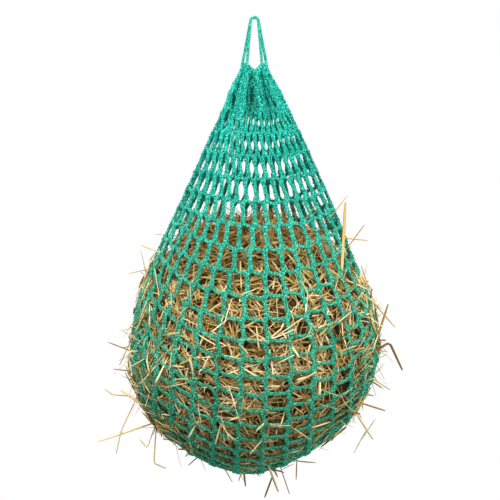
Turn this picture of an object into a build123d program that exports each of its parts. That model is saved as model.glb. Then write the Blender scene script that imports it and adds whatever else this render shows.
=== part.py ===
"""A filled, knotless hay net hanging from the two loops of its drawcord.

Frame, millimetres: +Z up, +X to the right, front faces -Y. The origin is the axis of the hook that
carries the net: the middle of the bend at the top of both hanging loops.

The netting is a flat-seamed bag. Its upright strands (wales) run straight down the gathered neck, bend
over the packed hay, and pass under it at a constant X, so each front strand carries on as the back one
behind it. The cross strands (courses) lie one strand's thickness further in, and the hay lies inside
both, so that strands, courses, seam and hay share no space.
"""

from build123d import *
import math
import os
import random

# --- drawcord -------------------------------------------------------------------------------------
CORD_R = 2.75  # braided cord, 5.5 mm thick
HOOK_R = 4.0  # the loops' bend fits an 8 mm hook
HOOK_LENGTH = 22.0
SEAT_FLAT = 0.5  # how far the cord is pressed flat where it bears on the hook
LOOP_Y_TOP = 2.9  # the two loops lie side by side on the hook
LOOP_Y_FOOT = 6.3  # and spread in front of and behind the mouth cord
FRONT_LEG_X = 14.0  # the front loop's legs stand inside the back loop's
BACK_LEG_X = 22.6
MOUTH_Z = -83.0  # axis of the cord's run through the gathered mouth
MOUTH_HALF_X = 30.0
KNOT_DROP = 21.0  # from the mouth cord down to the knot's middle
KNOT_TURN_R = 3.0
KNOT_HEART_R = 3.3  # the crossings that fill the knot's turn
TAIL_R = 2.2  # the cut tails are pulled thin
TAIL_LENGTH = 11.0
TAIL_DROP = 9.4  # from the knot's middle to the tails' middles
TAIL_SPREAD = 14.0  # degrees from upright

# --- gathered mouth and neck ----------------------------------------------------------------------
PLEAT_WALL = 1.7
PLEAT_CLEARANCE = 0.5  # radial, so that the pleats slide and turn on the cord
PLEAT_LENGTH = 3.8
MIDDLE_PLEATS_X = (-4.6, 0.0, 4.6)  # pleats between the front loop's legs
OUTER_PLEAT_X = 27.8  # the pleat outside the back loop's leg, on each side
NECK_TOP_DROP = 25.0  # from the mouth cord down to the tops of the neck's strands
NECK_TOP_HALF_X = 36.0
NECK_TOP_HALF_Y = 20.0
NECK_STRAND_R = 1.8  # strands are pulled thin in the neck
NECK_COURSE_R = 1.4
NECK_GAP = 2.0  # air between the neck's strands and its cross strands
NECK_COURSE_DROPS = (62.0, 105.0, 149.0, 192.0, 234.0)

# --- bag over the hay -----------------------------------------------------------------------------
WALES = 32
STRAND_R = 2.6
COURSE_R = 1.9
GAP = 0.5  # air between pieces that only touch in real netting
BAG_R = 226.0
BAG_Z = -602.0  # height of the widest part
NECK_LINE_R = 26.5  # half width of the neck's straight side at the mouth cord
NECK_SLOPE = 0.44  # half width gained per unit of drop
SPLIT_Z = -345.0  # where the empty neck ends and the bag begins
SPLIT_GAP = 5.0
COURSES_ABOVE = 6  # cross strands between the neck and the widest part
COURSES_BELOW = 6
FIRST_ABOVE = 0.45  # the first cross strand of each stretch, in spacings from its top
FIRST_BELOW = 0.3
SEAM_R = 2.2
SEAM_ANGLE = 52.0  # the bottom seam's reach to each side of the lowest point, degrees

# --- hay ------------------------------------------------------------------------------------------
HAY_TOP_Z = -358.0
HAY_CROWN = 16.0
STALK_R = (1.2, 2.1)
STALK_ROOT = 26.0  # how deep a loose stalk is held in the packed hay
STALK_HOLE = 0.25  # radial room round a stalk in the hay
STALK_DROOP = 0.25  # steepest slope of a stalk above the widest part
STALK_SEED = 7
# Above the widest part, on each side: mesh column from the side's middle, mesh row from the neck, reach.
SIDE_STALKS = ((-3, 1, 26.0), (-1, 3, 34.0), (2, 2, 30.0))
LONG_STALK_ROW = 4
LONG_STALK_REACH = {"front": 30.0, "right": 50.0, "back": 30.0, "left": 60.0}
# Below it: mesh column from the middle, mesh row from the widest part, reach, 1 for front or -1 for back.
LOW_STALKS = ((0, 4, 56.0, 1), (0, 3, 40.0, -1), (-2, 2, 38.0, 1), (2, 2, 44.0, 1), (1, 3, 36.0, -1))

course_inset = STRAND_R + COURSE_R + GAP
hay_inset = course_inset + COURSE_R + GAP

# The shoulder is one arc, tangent to the neck's straight side and upright at the widest part.
neck_angle = math.atan(NECK_SLOPE)
shoulder_r = (BAG_R - NECK_LINE_R - NECK_SLOPE * (MOUTH_Z - BAG_Z)) / (
    1 - math.cos(neck_angle) - math.sin(neck_angle) * NECK_SLOPE
)
shoulder_z = BAG_Z + shoulder_r * math.sin(neck_angle)
shoulder_middle_z = BAG_Z + shoulder_r * math.sin(neck_angle / 2)


def line_half_width(z):
    return NECK_LINE_R + NECK_SLOPE * (MOUTH_Z - z)


def half_width(z, inset=0.0):
    """The bag's radius at height z, `inset` inside the middle of the upright strands."""
    if z >= shoulder_z:
        return line_half_width(z) - inset / math.cos(neck_angle)
    if z >= BAG_Z:
        radius = shoulder_r - inset
        return BAG_R - shoulder_r + math.sqrt(radius**2 - (z - BAG_Z) ** 2)
    return math.sqrt((BAG_R - inset) ** 2 - (z - BAG_Z) ** 2)


def around(radius, turn, z):
    """A point at angle `turn` from the front, positive to the right."""
    return Vector(radius * math.sin(turn), -radius * math.cos(turn), z)


def wale_turns():
    """The angles of the front strands, left to right."""
    step = 2 * math.pi / WALES
    return [-math.pi / 2 + step * (k + 0.5) for k in range(WALES // 2)]


def tube(path, radius):
    """A round cord swept along a path."""
    return sweep(Plane(origin=path @ 0, z_dir=path % 0) * Circle(radius), path=path)


def rod(start, end, radius):
    """A round straight piece between two points."""
    along = end - start
    return Plane(origin=start, z_dir=along) * extrude(Circle(radius), amount=along.length)


def ring(radius, z, thickness):
    return Pos(0, 0, z) * Torus(radius, thickness)


# --- drawcord pieces ------------------------------------------------------------------------------
def hanging_loop(leg_x, side):
    """One bight of the drawcord: a bend on the hook and two spreading legs."""
    bend = HOOK_R + CORD_R - SEAT_FLAT
    # the legs leave the bend along its tangents
    lean = math.atan2(leg_x, -MOUTH_Z) - math.asin(bend / math.hypot(leg_x, MOUTH_Z))
    touch = Vector(bend * math.cos(lean), 0, bend * math.sin(lean))
    foot = Vector(leg_x, 0, MOUTH_Z)
    left_touch = Vector(-touch.X, 0, touch.Z)
    left_foot = Vector(-leg_x, 0, MOUTH_Z)
    arch = ThreePointArc(left_touch, Vector(0, 0, bend), touch)
    cord = tube(Wire([Line(left_foot, left_touch), arch, Line(touch, foot)]), CORD_R)
    spread = math.degrees(math.atan((LOOP_Y_FOOT - LOOP_Y_TOP) / -MOUTH_Z))
    placed = Pos(0, side * LOOP_Y_TOP, 0) * Rot(side * spread, 0, 0) * cord
    return placed - Rot(90, 0, 0) * Cylinder(HOOK_R, HOOK_LENGTH)


def mouth_cord():
    """The drawcord's run through the gathered pleats, its ends rounded where it turns back."""
    run = Pos(0, 0, MOUTH_Z) * Rot(0, 90, 0) * Cylinder(CORD_R, 2 * MOUTH_HALF_X)
    ends = [Pos(sign * MOUTH_HALF_X, 0, MOUTH_Z) * Sphere(CORD_R) for sign in (-1, 1)]
    return run + ends


def drawcord_knot():
    """The overhand knot that joins the cord's ends, hanging inside the mouth, with its two cut tails."""
    centre = Pos(0, 0, MOUTH_Z - KNOT_DROP)
    knot = centre * Rot(90, 0, 0) * Torus(KNOT_TURN_R, CORD_R)
    knot += centre * Sphere(KNOT_HEART_R)
    tail = Pos(0, 0, -TAIL_DROP) * Cylinder(TAIL_R, TAIL_LENGTH)
    for sign in (-1, 1):
        knot += centre * Rot(0, sign * TAIL_SPREAD, 0) * tail
    return knot


def pleat(x):
    """The top meshes of one pleat, bunched into a ring on the drawcord."""
    inner = CORD_R + PLEAT_CLEARANCE
    wall = Cylinder(inner + PLEAT_WALL, PLEAT_LENGTH) - Cylinder(inner, 2 * PLEAT_LENGTH)
    return Pos(x, 0, MOUTH_Z) * Rot(0, 90, 0) * wall


# --- netting --------------------------------------------------------------------------------------
def neck_strand(index, turn):
    """One straight strand from the gathered oval under the mouth to the round top of the bag."""
    oval = Edge.make_ellipse(NECK_TOP_HALF_X, NECK_TOP_HALF_Y)
    on_oval = oval @ (((index + 0.5) / WALES + 0.5) % 1.0)
    top = Vector(on_oval.X, on_oval.Y, MOUTH_Z - NECK_TOP_DROP)
    bottom_z = SPLIT_Z + SPLIT_GAP
    return rod(top, around(half_width(bottom_z), turn, bottom_z), NECK_STRAND_R)


def neck_course(drop):
    """One cross strand of the neck: an oval that grows round on the way down."""
    inset = NECK_STRAND_R + NECK_COURSE_R + NECK_GAP
    z = MOUTH_Z - drop
    share = (drop - NECK_TOP_DROP) / (MOUTH_Z - SPLIT_Z - NECK_TOP_DROP)
    bottom = half_width(SPLIT_Z)
    across = NECK_TOP_HALF_X + (bottom - NECK_TOP_HALF_X) * share - inset
    deep = NECK_TOP_HALF_Y + (bottom - NECK_TOP_HALF_Y) * share - inset
    return tube(Wire([Pos(0, 0, z) * Edge.make_ellipse(across, deep)]), NECK_COURSE_R)


def bag_strand(turn):
    """One strand from the bag's top at the front, under the hay at constant X, to its top at the back."""
    back = math.pi - turn
    low_reach = BAG_R * math.cos(turn)
    under = Vector(BAG_R * math.sin(turn), 0, BAG_Z - low_reach)

    def descent(t):
        top = around(half_width(SPLIT_Z), t, SPLIT_Z)
        shoulder = around(half_width(shoulder_z), t, shoulder_z)
        middle = around(half_width(shoulder_middle_z), t, shoulder_middle_z)
        widest = around(BAG_R, t, BAG_Z)
        return [Line(top, shoulder), ThreePointArc(shoulder, middle, widest)]

    front_edges = descent(turn)
    back_edges = descent(back)
    bottom = ThreePointArc(front_edges[1] @ 1, under, back_edges[1] @ 1)
    return tube(Wire([*front_edges, bottom, *back_edges]), STRAND_R)


def bag_course_heights():
    """Heights of the cross strands, evenly spaced down to the widest part and round the bottom below it."""
    above_step = (SPLIT_Z - BAG_Z) / COURSES_ABOVE
    above = [SPLIT_Z - above_step * (k + FIRST_ABOVE) for k in range(COURSES_ABOVE)]
    below_step = math.pi / 2 / COURSES_BELOW
    radius = BAG_R - course_inset
    below = [BAG_Z - radius * math.sin(below_step * (k + FIRST_BELOW)) for k in range(COURSES_BELOW)]
    return above, below


def base_seam():
    """The lacing that closes the bag's bottom, a cord across the undersides of all the strands."""
    radius = BAG_R + STRAND_R + SEAM_R + GAP
    reach = math.radians(SEAM_ANGLE)
    ends = [Vector(s * radius * math.sin(reach), 0, BAG_Z - radius * math.cos(reach)) for s in (-1, 1)]
    return tube(Wire([ThreePointArc(ends[0], Vector(0, 0, BAG_Z - radius), ends[1])]), SEAM_R)


# --- hay ------------------------------------------------------------------------------------------
def hay_core():
    """The packed hay: the bag's own outline, one course further in, under a shallow crown."""
    rim_z = HAY_TOP_Z - HAY_CROWN
    rim = Vector(half_width(rim_z, hay_inset), 0, rim_z)
    shoulder = Vector(half_width(shoulder_z, hay_inset), 0, shoulder_z)
    middle = Vector(half_width(shoulder_middle_z, hay_inset), 0, shoulder_middle_z)
    widest = Vector(BAG_R - hay_inset, 0, BAG_Z)
    low = (BAG_R - hay_inset) * math.cos(math.pi / 4)
    outline = Wire(
        [
            Line((0, 0, HAY_TOP_Z), rim),
            Line(rim, shoulder),
            ThreePointArc(shoulder, middle, widest),
            ThreePointArc(widest, (low, 0, BAG_Z - low), (0, 0, BAG_Z - BAG_R + hay_inset)),
            Line((0, 0, BAG_Z - BAG_R + hay_inset), (0, 0, HAY_TOP_Z)),
        ]
    )
    return revolve(Face(outline), Axis.Z)


class Stalk:
    """A loose stalk: it leaves the hay at `base` along `along`, and stands `reach` out of the netting."""

    def __init__(self, base, along, reach, radius):
        self.along = along.normalized()
        self.root = base - self.along * STALK_ROOT
        self.tip = base + self.along * (reach + hay_inset)
        self.radius = radius

    def solid(self):
        return rod(self.root, self.tip, self.radius)

    def hole(self):
        return rod(self.root - self.along, self.tip, self.radius + STALK_HOLE)


def mesh_turn(column):
    """The angle of the middle of a mesh, counted from the front one."""
    return 2 * math.pi / WALES * column


def side_stalk(column, z, reach, droop, radius):
    """A stalk through the middle of a mesh above the widest part; droop is its slope."""
    turn = mesh_turn(column)
    base = around(half_width(z, hay_inset), turn, z)
    return Stalk(base, around(1, turn, 0) + Vector(0, 0, droop), reach, radius)


def low_stalk(column, z, reach, facing, radius):
    """A stalk square to the bag, through the middle of a mesh below the widest part."""
    x = BAG_R * math.sin(mesh_turn(column))
    drop = z - BAG_Z
    out = Vector(x, -facing * math.sqrt((BAG_R - hay_inset) ** 2 - x**2 - drop**2), drop)
    return Stalk(Vector(0, 0, BAG_Z) + out, out, reach, radius)


def mesh_rows(courses):
    """Heights of the middles of the meshes between cross strands."""
    return [(a + b) / 2 for a, b in zip(courses, courses[1:])]


def loose_stalks(above, below):
    """Loose stalks by the side they stand out of."""
    rng = random.Random(STALK_SEED)
    upper_rows, lower_rows = mesh_rows(above), mesh_rows(below)
    groups = {}
    for quarter, (side, longest) in enumerate(LONG_STALK_REACH.items()):
        middle = quarter * WALES // 4
        groups[f"stalks_{side}"] = [
            side_stalk(
                middle + column,
                upper_rows[row],
                reach,
                rng.uniform(-STALK_DROOP, STALK_DROOP),
                rng.uniform(*STALK_R),
            )
            for column, row, reach in (*SIDE_STALKS, (0, LONG_STALK_ROW, longest))
        ]
    groups["stalks_base"] = [
        low_stalk(column, lower_rows[row], reach, facing, rng.uniform(*STALK_R))
        for column, row, reach, facing in LOW_STALKS
    ]
    return groups


# --- pieces ---------------------------------------------------------------------------------------
def group(label, solids):
    return Compound(label=label, children=list(solids))


pieces = {
    "hanging_loop_front": hanging_loop(FRONT_LEG_X, -1),
    "hanging_loop_back": hanging_loop(BACK_LEG_X, 1),
    "mouth_cord": mouth_cord(),
    "drawcord_knot": drawcord_knot(),
    "mouth_pleats_middle": group("mouth_pleats_middle", [pleat(x) for x in MIDDLE_PLEATS_X]),
    "mouth_pleat_left": pleat(-OUTER_PLEAT_X),
    "mouth_pleat_right": pleat(OUTER_PLEAT_X),
}

front_turns = wale_turns()
all_turns = front_turns + [t + math.pi for t in front_turns]
sides = ("front_left", "front_middle_left", "front_middle_right", "front_right")
sides += ("back_right", "back_middle_right", "back_middle_left", "back_left")
per_side = WALES // len(sides)
for number, side in enumerate(sides):
    members = range(number * per_side, (number + 1) * per_side)
    label = f"neck_strands_{side}"
    pieces[label] = group(label, [neck_strand(k, all_turns[k]) for k in members])

upper_drops = NECK_COURSE_DROPS[:3]
lower_drops = NECK_COURSE_DROPS[3:]
pieces["neck_courses_upper"] = group("neck_courses_upper", [neck_course(d) for d in upper_drops])
pieces["neck_courses_lower"] = group("neck_courses_lower", [neck_course(d) for d in lower_drops])

for number, side in enumerate(("left", "middle_left", "middle_right", "right")):
    label = f"bag_strands_{side}"
    members = front_turns[number * per_side : (number + 1) * per_side]
    pieces[label] = group(label, [bag_strand(turn) for turn in members])

course_above, course_below = bag_course_heights()
for label, heights in (
    ("bag_courses_shoulder", course_above[:3]),
    ("bag_courses_middle", course_above[3:] + course_below[:2]),
    ("bag_courses_lower", course_below[2:]),
):
    pieces[label] = group(label, [ring(half_width(z, course_inset), z, COURSE_R) for z in heights])

pieces["base_seam"] = base_seam()

stalk_groups = loose_stalks(course_above, course_below)
core = hay_core()
for stalks in stalk_groups.values():
    core -= [stalk.hole() for stalk in stalks]
pieces["hay_core"] = core
for label, stalks in stalk_groups.items():
    pieces[label] = group(label, [stalk.solid() for stalk in stalks])

os.makedirs("parts", exist_ok=True)
for name, piece in pieces.items():
    export_step(piece, f"parts/{name}.step")
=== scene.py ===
"""The looks of a filled knotless hay net: braided netting and drawcord over packed, loose-ended hay."""

import math

import bpy
import numpy as np
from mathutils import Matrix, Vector


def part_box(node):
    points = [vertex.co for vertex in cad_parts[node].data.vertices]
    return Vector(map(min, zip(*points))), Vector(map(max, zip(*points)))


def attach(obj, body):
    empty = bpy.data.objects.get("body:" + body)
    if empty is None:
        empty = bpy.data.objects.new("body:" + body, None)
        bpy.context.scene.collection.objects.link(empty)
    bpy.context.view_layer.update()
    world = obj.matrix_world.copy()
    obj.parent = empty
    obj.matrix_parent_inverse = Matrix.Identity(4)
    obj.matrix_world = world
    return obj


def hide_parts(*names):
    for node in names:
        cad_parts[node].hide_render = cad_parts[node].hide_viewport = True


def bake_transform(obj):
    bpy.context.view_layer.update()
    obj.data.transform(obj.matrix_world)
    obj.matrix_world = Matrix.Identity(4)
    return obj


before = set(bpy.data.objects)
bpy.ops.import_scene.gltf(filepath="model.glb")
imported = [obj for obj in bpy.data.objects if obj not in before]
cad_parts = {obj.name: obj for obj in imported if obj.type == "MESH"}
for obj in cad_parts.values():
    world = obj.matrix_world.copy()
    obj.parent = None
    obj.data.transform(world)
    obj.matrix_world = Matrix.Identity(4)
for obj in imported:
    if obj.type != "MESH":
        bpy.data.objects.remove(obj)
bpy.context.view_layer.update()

# Lengths are in millimetres in this script and turn into metres when a mesh is made.
# The hook is at the origin, the front is towards -Y, the right towards +X and up is +Z.
MM = 0.001

# --- sizes from the frame ---
cord_lo, cord_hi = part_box("mouth_cord")
strand_lo, strand_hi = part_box("bag_strands_middle_left")
loop_lo, loop_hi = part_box("hanging_loop_back")
hay_lo, hay_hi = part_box("hay_core")

CORD_R = (cord_hi.z - cord_lo.z) / 2 / MM
MOUTH_Z = (cord_hi.z + cord_lo.z) / 2 / MM
FRAME_STRAND_R = 2.6
BAG_R = (strand_hi.y - strand_lo.y) / 2 / MM - FRAME_STRAND_R
SPLIT_Z = strand_hi.z / MM  # where the empty neck ends and the bag begins
# the frame's hay is round below its widest part, which is therefore half its depth above its lowest point
BAG_Z = (hay_lo.z + (hay_hi.y - hay_lo.y) / 2) / MM

# --- the bag's outline ---
# Pairs of distances say where a change starts and where it is complete, down a column from the mouth.
WALES = 32  # knitted columns round the bag
NECK_SLOPE = 0.44  # half width gained per unit of drop
NECK_LINE_R = 26.5  # half width of the neck's straight side at the mouth cord
BOTTOM_DEPTH = 227.0  # from the widest part down to the lowest point
BOTTOM_POWER = 1.6  # 2 would be a round bottom, less is more pointed
BOTTOM_DRIFT = -11.0  # the bag hangs a little to the left of its hook
DRIFT_START = 60.0  # how far above the widest part that begins

MOUTH_DEPTH = 0.46  # the mouth's depth as a share of its width
ROUND_LENGTH = 370.0  # the neck is round from here down
MOUTH_TUCK = 0.15  # how much the drawcord pulls the very edge in
TUCK_LENGTH = 22.0
PEAK_X, PEAK_WIDTH, PEAK_HEIGHT = 15.5, 7.0, 7.0  # the mouth's edge rises at the cord's legs
DIP_WIDTH, DIP_DEPTH = 6.0, 6.0  # and dips between them
PEAK_LENGTH = 45.0  # how far down the netting follows its edge

NECK_CROWDING = ((0, 0.27), (200, 0.27), (270, 0.23), (350, 0.15), (520, 0.0))  # distance, share
SIDE_OPENING = 8.0  # the higher, the more the crowded columns leave only the very sides open
NECK_DRIFT = 2.6  # the neck hangs a little to the right of the bag
NECK_DRIFT_START, NECK_DRIFT_END = (20.0, 90.0), (250.0, 420.0)
NECK_TURN = 5.6  # the neck hangs turned by half a mesh against the bag, degrees
NECK_TURN_FADE = (180.0, 480.0)
EDGE_TURN = 2.8  # and near its sides a little further, so that the back columns stand between the front ones
EDGE_SINE = (0.42, 0.72)  # sine of the angle from the front where that sets in and is complete

PLEAT_DEPTH = 28.0
PLEAT_FADE = (65.0, 145.0)
# angle from the front and half width of the valley in degrees, share of the full depth
PLEAT_VALLEYS = (
    (-48, 7, 0.7),
    (-8, 9, 1.8),
    (27, 8, 1.3),
    (75, 8, 0.6),
    (120, 8, 0.6),
    (165, 9, 0.6),
    (207, 9, 0.6),
    (250, 8, 0.6),
)
PLEAT_ROOM = 30.0  # a neck less deep than this to each side has shallower pleats
PLEAT_NARROWING = 0.35  # how much of a fold's depth its sides are drawn in
RIB_DEPTH = 5.0  # every second column lies deeper
RIB_FADE = (90.0, 150.0)
EDGE_FOLD = 0.3  # share of the folds that is left at the very edge
EDGE_FOLD_FADE = (8.0, 26.0)

LUMP_SIZE = 1.5
LUMP_FADE = (330.0, 480.0)  # below the hook
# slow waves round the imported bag: size, waves round, start in radians, drop for one radian
LUMP_WAVES = ((1.0, 2, 0.9, 90), (0.8, 3, 0.0, -61), (0.6, 5, 2.0, 43))

# --- the knit ---
NECK_PITCH = 42.0  # from row to row, down a column
BAG_PITCH = 32.5
PITCH_CHANGE = (430.0, 540.0)
FIRST_ROW, LAST_ROW = 0.97, 0.8  # in pitches from the mouth and from the lowest point
SIDE_LIFT_POWER = 1.5  # how late down the net the side columns' rows begin to ride higher
ROW_LEAN = 5.0  # the rows hang lower on the right
ROW_LEAN_START = (100.0, 400.0)
ROW_WANDER = 1.6
REAR_DROP = 0.19  # how steeply the neck's rows fall towards the back
REAR_DROP_END = 0.9  # it is gone at this share of the middle column's length
NECK_SIGHT = 300.0  # down to here one can look through the netting
LINK_STEP = 9.0  # how far a link's two ends are staggered along the columns
NECK_LINK_STEP = 22.0
LINK_STEP_FADE = (20.0, 300.0)
LINK_SAG = 1.4
LINK_EASE = 0.10  # how much a link's ends run along the columns that they leave
LINK_SAG_WIDTH = 30.0  # links narrower than this sag less
LINK_SPAN = (0.03, 0.97)  # the drawn part of a link, from one column to the next
LINK_INSET = 0.5  # links lie a little under the columns
LINK_PLY_PITCH = 11.0
ZIGZAG = 3.4  # how far links pull a column aside
ZIGZAG_LENGTH = 8.0
ZIGZAG_AT_MOUTH = 0.6
ZIGZAG_GROWTH = (60.0, 240.0)
KNOT_SWELL = 0.3  # a column is thicker where links leave it
KNOT_LENGTH = 5.0
# distance, half width
WALE_HALF = ((0, 4.3), (70, 4.1), (95, 3.5), (130, 3.6), (150, 3.9), (220, 3.9), (320, 4.5), (760, 4.6))
LINK_HALF = ((0, 3.3), (320, 3.5), (760, 3.6))
WALE_PLY_PITCH = 14.0
SIDE_SWELL = 0.1  # how much thicker the strands near the neck's sides lie
SIDE_SWELL_SINE = (0.66, 0.86)
SIDE_SWELL_START, SIDE_SWELL_END = (60.0, 140.0), (200.0, 320.0)
OPEN_SPACING, OPEN_LEAST = 22.0, 0.55  # under the bag: columns closer than this are thinner, least share
PLEAT_SPACING, PLEAT_LEAST = 7.4, 0.6  # the same in the pleats
PLEAT_THIN_FADE = (90.0, 130.0)
UNDER_BAG = 60.0  # the change to the bag's underside reaches this far above and below the widest part
WALE_PHASE, LINK_ROW_PHASE, LINK_WALE_PHASE = 0.37, 0.21, 0.13  # keep neighbours' plies from lining up
LEAST_SPACING = 2.0  # of columns
SAMPLE = 1.75  # length of one step along a strand

neck_angle = math.atan(NECK_SLOPE)
shoulder_r = (BAG_R - NECK_LINE_R - NECK_SLOPE * (MOUTH_Z - BAG_Z)) / (
    1 - math.cos(neck_angle) - math.sin(neck_angle) * NECK_SLOPE
)
shoulder_z = BAG_Z + shoulder_r * math.sin(neck_angle)


def smooth(x, start, end):
    """0 up to start and 1 from end on, with a soft change between them."""
    t = np.clip((np.asarray(x, float) - start) / (end - start), 0, 1)
    return t * t * (3 - 2 * t)


def bell(x, width):
    """1 at x = 0, falling off smoothly to both sides."""
    return np.exp(-((x / width) ** 2))


def unit(v):
    return v / np.maximum(np.linalg.norm(v, axis=-1, keepdims=True), 1e-9)


def profile(z):
    """Radius of the bag at heights z above its widest part."""
    line = NECK_LINE_R + NECK_SLOPE * (MOUTH_Z - z)
    arc = BAG_R - shoulder_r + np.sqrt(np.maximum(shoulder_r**2 - (z - BAG_Z) ** 2, 0))
    return np.where(z >= shoulder_z, line, arc)


descent_z = np.linspace(MOUTH_Z, BAG_Z, 600)
descent_r = profile(descent_z)
descent_s = np.concatenate([[0], np.cumsum(np.hypot(np.diff(descent_z), np.diff(descent_r)))])
UPPER_LENGTH = descent_s[-1]


def height_at(s):
    """Height at the distance s down from the mouth, above the widest part."""
    return np.interp(s, descent_s, descent_z)


def radius_at(s):
    return np.interp(s, descent_s, descent_r)


def turn_of(column):
    """Angle from the front of a strand column; column 0 is the leftmost front one."""
    return -math.pi / 2 + (np.asarray(column, float) + 0.5) * 2 * math.pi / WALES


def bottom_depth(x):
    """How far below the widest part the bag reaches at x."""
    share = np.clip(np.abs(x) / BAG_R, 0, 1)
    return BOTTOM_DEPTH * np.sqrt(1 - share**BOTTOM_POWER)


def bottom_drift(z):
    """How far the bag hangs to the side at the height z."""
    return BOTTOM_DRIFT * smooth(-z, -BAG_Z - DRIFT_START, -BAG_Z + BOTTOM_DEPTH)


def lower_length(turn):
    """Length of a column from the widest part to the bottom seam, as a quarter of an ellipse."""
    deep = BAG_R * np.abs(np.cos(turn))
    low = bottom_depth(BAG_R * np.sin(turn))
    return math.pi / 2 * np.sqrt((deep**2 + low**2) / 2)


def column_length(column):
    return UPPER_LENGTH + lower_length(turn_of(column))


MIDDLE_LENGTH = UPPER_LENGTH + float(lower_length(0.0))


def lumps(turn, z):
    """Slow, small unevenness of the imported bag."""
    wave = sum(size * np.sin(waves * turn + start + z / drop) for size, waves, start, drop in LUMP_WAVES)
    return LUMP_SIZE * wave * smooth(-z, *LUMP_FADE)


def depth_share(s):
    """The neck's depth as a share of its width."""
    return MOUTH_DEPTH + (1 - MOUTH_DEPTH) * smooth(s, 0, ROUND_LENGTH)


def mouth_edge(x, peak, dip):
    """Rise of the mouth's edge at x: a peak over each pair of cord legs and a dip between them."""
    return peak * bell(np.abs(x) - PEAK_X, PEAK_WIDTH) - dip * bell(x, DIP_WIDTH)


def crowded(turn, share):
    """Column angles moved towards the front and the back, which leaves the very sides open."""
    nearest = np.round(turn / math.pi) * math.pi
    off = (turn - nearest) / (math.pi / 2)
    return turn - share * (math.pi / 2) * (off - np.sign(off) * np.abs(off) ** SIDE_OPENING)


def neck_turn_of(turn, s):
    """Angle from the front of a column in the neck, which is turned and crowded."""
    extra = EDGE_TURN * smooth(np.abs(np.sin(turn)), *EDGE_SINE)
    neck_turn = turn + np.radians(NECK_TURN + extra) * (1 - smooth(s, *NECK_TURN_FADE))
    return crowded(neck_turn, np.interp(s, *zip(*NECK_CROWDING)))


def fold_depth(neck_turn, column, s, half_depth):
    """How deep the pleats and ribs press the netting in."""
    fold = np.zeros_like(s)
    for valley, width, share in PLEAT_VALLEYS:
        off = (np.degrees(neck_turn) - valley + 180) % 360 - 180
        fold += share * bell(off, width)
    fold *= PLEAT_DEPTH * (1 - smooth(s, *PLEAT_FADE)) * np.clip(half_depth / PLEAT_ROOM, 0, 1)
    fold += RIB_DEPTH * (0.5 - 0.5 * np.cos(math.pi * column)) * (1 - smooth(s, *RIB_FADE))
    return fold * (EDGE_FOLD + (1 - EDGE_FOLD) * smooth(s, *EDGE_FOLD_FADE))


def net_point(column, s):
    """Points on the netting's middle surface, s down a column from the mouth."""
    column, s = np.broadcast_arrays(np.asarray(column, float), np.asarray(s, float))
    turn = turn_of(column)
    # above the widest part: round, but flattened, crowded to front and back, and pleated at the mouth
    neck_turn = neck_turn_of(turn, s)
    z = height_at(s)
    radius = radius_at(s)
    half_depth = radius * depth_share(s)
    fold = fold_depth(neck_turn, column, s, half_depth)
    x = (radius - fold * PLEAT_NARROWING) * np.sin(neck_turn) * (1 - MOUTH_TUCK * bell(s, TUCK_LENGTH))
    y = -(half_depth - fold) * np.cos(neck_turn)
    z = z + mouth_edge(x, PEAK_HEIGHT, DIP_DEPTH) * bell(s, PEAK_LENGTH)
    # below it: ellipses at constant x that meet the bottom seam
    under = np.clip((s - UPPER_LENGTH) / lower_length(turn), 0, 1) * math.pi / 2
    low = s > UPPER_LENGTH
    y = np.where(low, -BAG_R * np.cos(turn) * np.cos(under), y)
    z = np.where(low, BAG_Z - bottom_depth(BAG_R * np.sin(turn)) * np.sin(under), z)
    swell = 1 + lumps(turn, z) / BAG_R
    x = x + NECK_DRIFT * smooth(s, *NECK_DRIFT_START) * (1 - smooth(s, *NECK_DRIFT_END))
    return np.stack([x * swell + bottom_drift(z), y * swell, z], axis=-1)


def net_normal(column, s):
    """Outward normals of the netting's surface."""
    du, ds = 0.02, 1.0
    length = column_length(column)
    s_safe = np.clip(s, ds, length - ds)
    across = net_point(column + du, s_safe) - net_point(column - du, s_safe)
    down = net_point(column, s_safe + ds) - net_point(column, s_safe - ds)
    return unit(np.cross(down, across))


def column_spacing(column, s):
    gap = net_point(column + 0.5, s) - net_point(column - 0.5, s)
    return np.maximum(np.linalg.norm(gap, axis=-1), LEAST_SPACING)


def middle_rows():
    """Distances of the cross rows from the mouth, on the middle column."""
    rows = [NECK_PITCH * FIRST_ROW]
    while rows[-1] < MIDDLE_LENGTH - BAG_PITCH * LAST_ROW:
        pitch = NECK_PITCH + (BAG_PITCH - NECK_PITCH) * smooth(rows[-1] + NECK_PITCH / 2, *PITCH_CHANGE)
        rows.append(rows[-1] + float(pitch))
    return rows


ROWS = middle_rows()


def row_distance(row, column):
    """Distance from the mouth of a row on a column. Side columns are shorter, so their rows ride higher."""
    middle = ROWS[row]
    turn = turn_of(column)
    shortfall = 1 - column_length(column) / MIDDLE_LENGTH
    lift = shortfall * (middle / MIDDLE_LENGTH) ** SIDE_LIFT_POWER
    lean = ROW_LEAN * np.sin(turn) * smooth(middle, *ROW_LEAN_START)
    wander = ROW_WANDER * np.sin(1.7 * np.asarray(column, float) + 2.3 * row)
    level = middle * (1 - lift) + (lean + wander) * (1 - lift * 2)
    seen = min(middle, NECK_SIGHT)
    rear = np.maximum(-np.cos(turn), 0.0) * 2 * radius_at(seen) * depth_share(seen)
    return level + REAR_DROP * rear * (1 - smooth(middle, NECK_SIGHT, MIDDLE_LENGTH * REAR_DROP_END))


def link_step(s):
    return LINK_STEP + (NECK_LINK_STEP - LINK_STEP) * (1 - smooth(s, *LINK_STEP_FADE))


def link_ends(column, s, length):
    """How near a column's points are to the upper and to the lower ends of its links, each from 0 to 1."""
    upper, lower = np.zeros_like(s), np.zeros_like(s)
    for row in range(len(ROWS)):
        at = row_distance(row, column)
        half = link_step(at) / 2
        upper += bell(s - at + half, length)
        lower += bell(s - at - half, length)
    return upper, lower


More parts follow.
